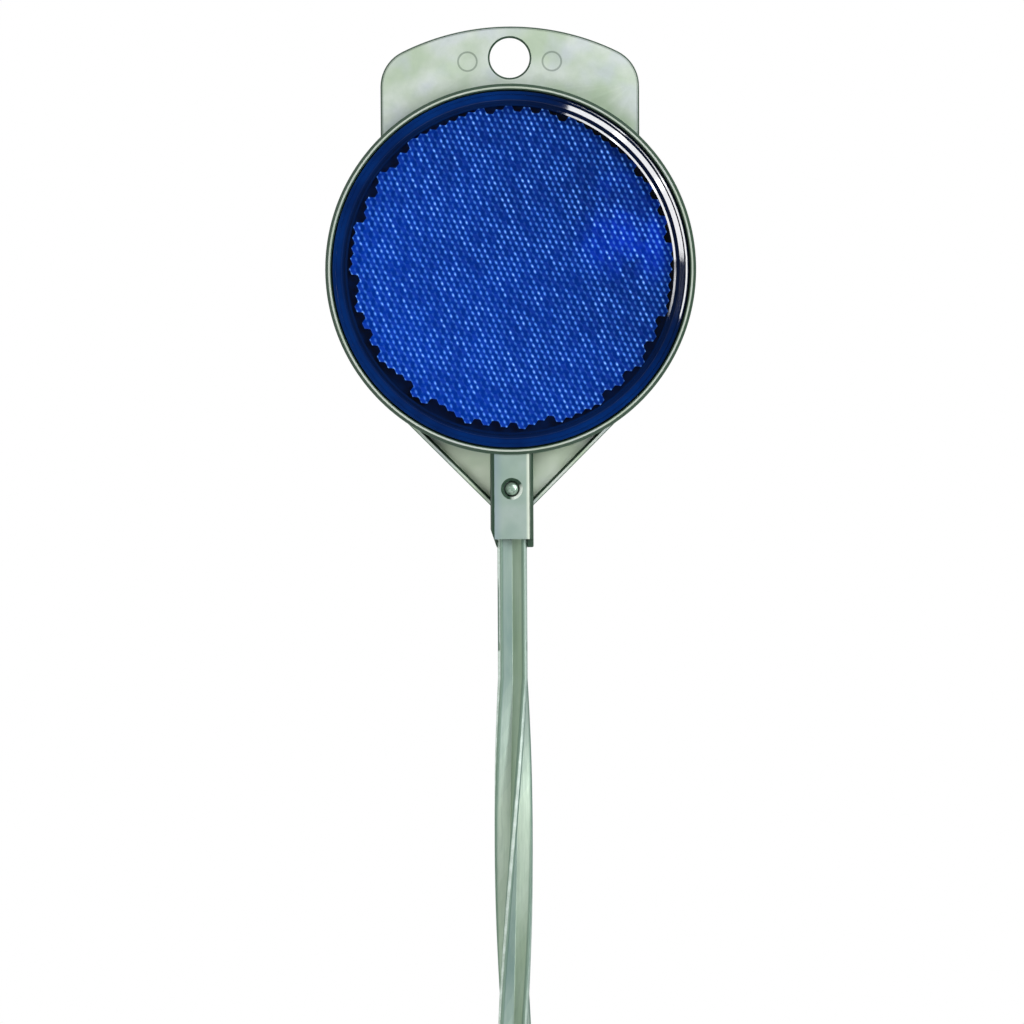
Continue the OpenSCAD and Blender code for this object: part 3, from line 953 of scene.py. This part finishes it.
def prism_blue():
    """Cobalt prisms: a bright oval dot where each corner sends the light back, dark blue between them."""
    material, tree, skin = new_material("cobalt_prisms")
    centre = from_ring_centre(tree)
    where = place(tree, (1 / MM, 1 / MM, 1 / MM), (0, radians(PRISM_TURN + 30), 0), centre)
    dots = math(tree, "ADD", soft_dots(tree, where, PRISM_SIDE / 2, PRISM_SIDE * sqrt(3) / 2),
                soft_dots(tree, where, 0, 0))
    patches = noise(tree, centre, 90.0, 3.0)
    # painted light: the blue grows brighter towards the lower left
    slope = vector_math(tree, "DOT_PRODUCT", centre, (-9.0, 0, -7.0))
    broad = math(tree, "ADD", mapped(tree, patches, 0.3, 0.7, -0.12, 0.12), slope)
    base = mixed(tree, mapped(tree, broad, -0.4, 0.4), srgb(0, 33, 108), srgb(0, 52, 160))

    # the lit patch on the right
    from_patch = weighed_length(tree, vector_math(tree, "SUBTRACT", centre, mm(27, 0, 9)), (1, 0, 1))
    lit = product(tree, mapped_mm(tree, from_patch, 14, 3), mapped(tree, patches, 0.4, 0.6, 0.1, 0.65))
    base = mixed(tree, lit, base, srgb(5, 54, 212))

    # painted highlights: the bright dots where the corners send the light back
    tone = mixed(tree, dots, base, srgb(84, 152, 255))
    tone = mixed(tree, mapped(tree, dots, 0.85, 1.2, 0.0, 0.8), tone, srgb(176, 210, 255))
    link(tree, tone, skin, "Base Color")
    skin.inputs["Roughness"].default_value = 0.5
    skin.inputs["Specular IOR Level"].default_value = 0.05
    return material


# ---- the six pieces ----
def paint(piece, material):
    piece.data.materials.clear()
    piece.data.materials.append(material)


def declare(piece, body_node):
    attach(piece, "root")
    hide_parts(body_node)


silver = housing_plastic()
bright_bar = bar_aluminium()
navy = lens_navy()

housing = reflector_housing()
paint(housing, silver)
declare(housing, "reflector_housing")

lens = clear_lens()
paint(lens, navy)
lens.data.materials.append(lens_window())
edit(lens)
select_faces(lens, in_window)
lens.active_material_index = 1
bpy.ops.object.material_slot_assign()
finish_edit()
declare(lens, "prism_lens")

prisms = prism_field()
paint(prisms, prism_blue())
declare(prisms, "prism_lens")
plate = backing()
paint(plate, navy)
declare(plate, "prism_lens")

bar = twisted_stake()
paint(bar, bright_bar)
declare(bar, "stake")

rivet = locking_rivet()
paint(rivet, rivet_aluminium())
declare(rivet, "locking_rivet")


# ---- floor, world, lamps and camera ----
def floor_material():
    """White, and plain white like the backdrop far from the foot, so that no edge of the floor shows."""
    material, tree, skin = new_material("white_floor")
    grain = noise(tree, place(tree), 40.0)
    link(tree, mixed(tree, mapped(tree, grain, 0.3, 0.7), grey(0.9), grey(0.93)), skin, "Base Color")
    skin.inputs["Roughness"].default_value = 0.8
    rays = node(tree, "ShaderNodeLightPath")
    seen = larger(tree, larger(tree, (rays, "Is Camera Ray"), (rays, "Is Glossy Ray")), (rays, "Is Transmission Ray"))
    from_foot = vector_math(tree, "LENGTH", place(tree))
    fade = product(tree, seen, mapped(tree, from_foot, *FLOOR_FADE, 0.0, 1.0, "SMOOTHSTEP"))
    white = node(tree, "ShaderNodeEmission", {"Color": grey(1), "Strength": 1.0}), 0
    show_mixed(tree, fade, (skin, 0), white, tree.nodes["Material Output"])
    return material


def room_light():
    """A white backdrop behind the object, and a soft bright room in front of it, darkest beside the object."""
    world = bpy.data.worlds.new("studio")
    bpy.context.scene.world = world
    world.use_nodes = True
    tree = world.node_tree
    tree.nodes.clear()
    rays = node(tree, "ShaderNodeLightPath")
    towards = node(tree, "ShaderNodeTexCoord"), "Generated"
    front = vector_math(tree, "DOT_PRODUCT", towards, (0, -1, 0))
    right = vector_math(tree, "DOT_PRODUCT", towards, (1, 0, 0))
    up = vector_math(tree, "DOT_PRODUCT", towards, (0, 0, 1))

    # the room's zones from back to front, brighter on the left, and its ceiling
    first, last = ROOM_ZONES[0][0], ROOM_ZONES[-1][0]
    zones = node(tree, "ShaderNodeValToRGB", {"Fac": mapped(tree, front, first, last)})
    stops = zones.color_ramp.elements
    stops[0].color = grey(ROOM_ZONES[0][1])
    stops[1].color = grey(ROOM_ZONES[-1][1])
    for direction, level in ROOM_ZONES[1:-1]:
        stops.new((direction - first) / (last - first)).color = grey(level)
    strength = product(tree, (zones, "Color"), mapped(tree, right, -0.9, 0.9, *ROOM_SIDES), ROOM_LIGHT)
    ceiling = product(tree, mapped(tree, up, 0.2, 0.7), mapped(tree, front, 0.55, 0.3))
    strength = larger(tree, strength, ceiling)

    # the backdrop is what the camera sees, also through the pane, and what is mirrored from behind
    mirrored_back = product(tree, (rays, "Is Glossy Ray"), mapped(tree, front, -0.3, -0.5))
    direct = larger(tree, (rays, "Is Camera Ray"), (rays, "Is Transmission Ray"))
    white = node(tree, "ShaderNodeBackground", {"Color": grey(1), "Strength": 1.0}), 0
    room = node(tree, "ShaderNodeBackground", {"Color": (0.98, 1.0, 0.98, 1), "Strength": strength}), 0
    show_mixed(tree, larger(tree, direct, mirrored_back), room, white, node(tree, "ShaderNodeOutputWorld"))


def lamp(name, location, width, height, power, roll=0.0):
    """A rectangular lamp that looks at the ring's centre."""
    deselect_all()
    bpy.ops.object.light_add(type="AREA", location=location)
    made = bpy.context.object
    made.name = name
    made.data.shape = "RECTANGLE"
    made.data.size = width
    made.data.size_y = height
    made.data.energy = power
    turn = (mm(0, 0, RING_Z) - Vector(location)).to_track_quat("-Z", "Y")
    made.rotation_euler = (turn @ Quaternion((0, 0, 1), radians(roll))).to_euler()
    return made


def strip_lamp(name, round_ring, off_ring_axis, width, length):
    """A long soft box that the lens's slopes mirror at round_ring degrees above three o'clock."""
    turn, out = radians(round_ring), radians(off_ring_axis)
    towards = Vector((sin(out) * cos(turn), -cos(out), sin(out) * sin(turn)))
    power = STRIP_RADIANCE * pi * width * length
    lamp(name, mm(0, 0, RING_Z) + towards * STRIP_AWAY, width, length, power, round_ring)


def photo_camera():
    """Looks level along +Y with a long lens, so that the ring and the stake fall where the photograph has them."""
    data = bpy.data.cameras.new("photo_camera")
    camera = bpy.data.objects.new("photo_camera", data)
    bpy.context.scene.collection.objects.link(camera)
    left = (PICTURE_PX / 2 - RING_CENTRE_PX[0]) / PX_PER_MM
    up = (PICTURE_PX / 2 - RING_CENTRE_PX[1]) / PX_PER_MM
    roll = radians(CAMERA_ROLL)
    aim_x = left * cos(roll) - up * sin(roll)
    aim_z = RING_Z - up * cos(roll) - left * sin(roll)
    camera.location = (aim_x * MM, -CAMERA_AWAY, aim_z * MM)
    camera.rotation_euler = (pi / 2, roll, 0)
    data.sensor_width = CAMERA_SENSOR
    data.lens = CAMERA_SENSOR * CAMERA_AWAY / (PICTURE_PX / PX_PER_MM * MM)
    data.clip_start, data.clip_end = 0.1, 20.0
    bpy.context.scene.camera = camera


deselect_all()
bpy.ops.mesh.primitive_plane_add(size=FLOOR_SIZE, location=FLOOR_PLACE)
ground = name_start("floor")
paint(ground, floor_material())
room_light()
for strip in STRIPS:
    strip_lamp(*strip)
fill = lamp("fill_lamp", FILL_PLACE, FILL_SIZE, FILL_SIZE, FILL_POWER)
fill.visible_glossy = False
photo_camera()
bpy.context.scene.view_settings.view_transform = "Standard"
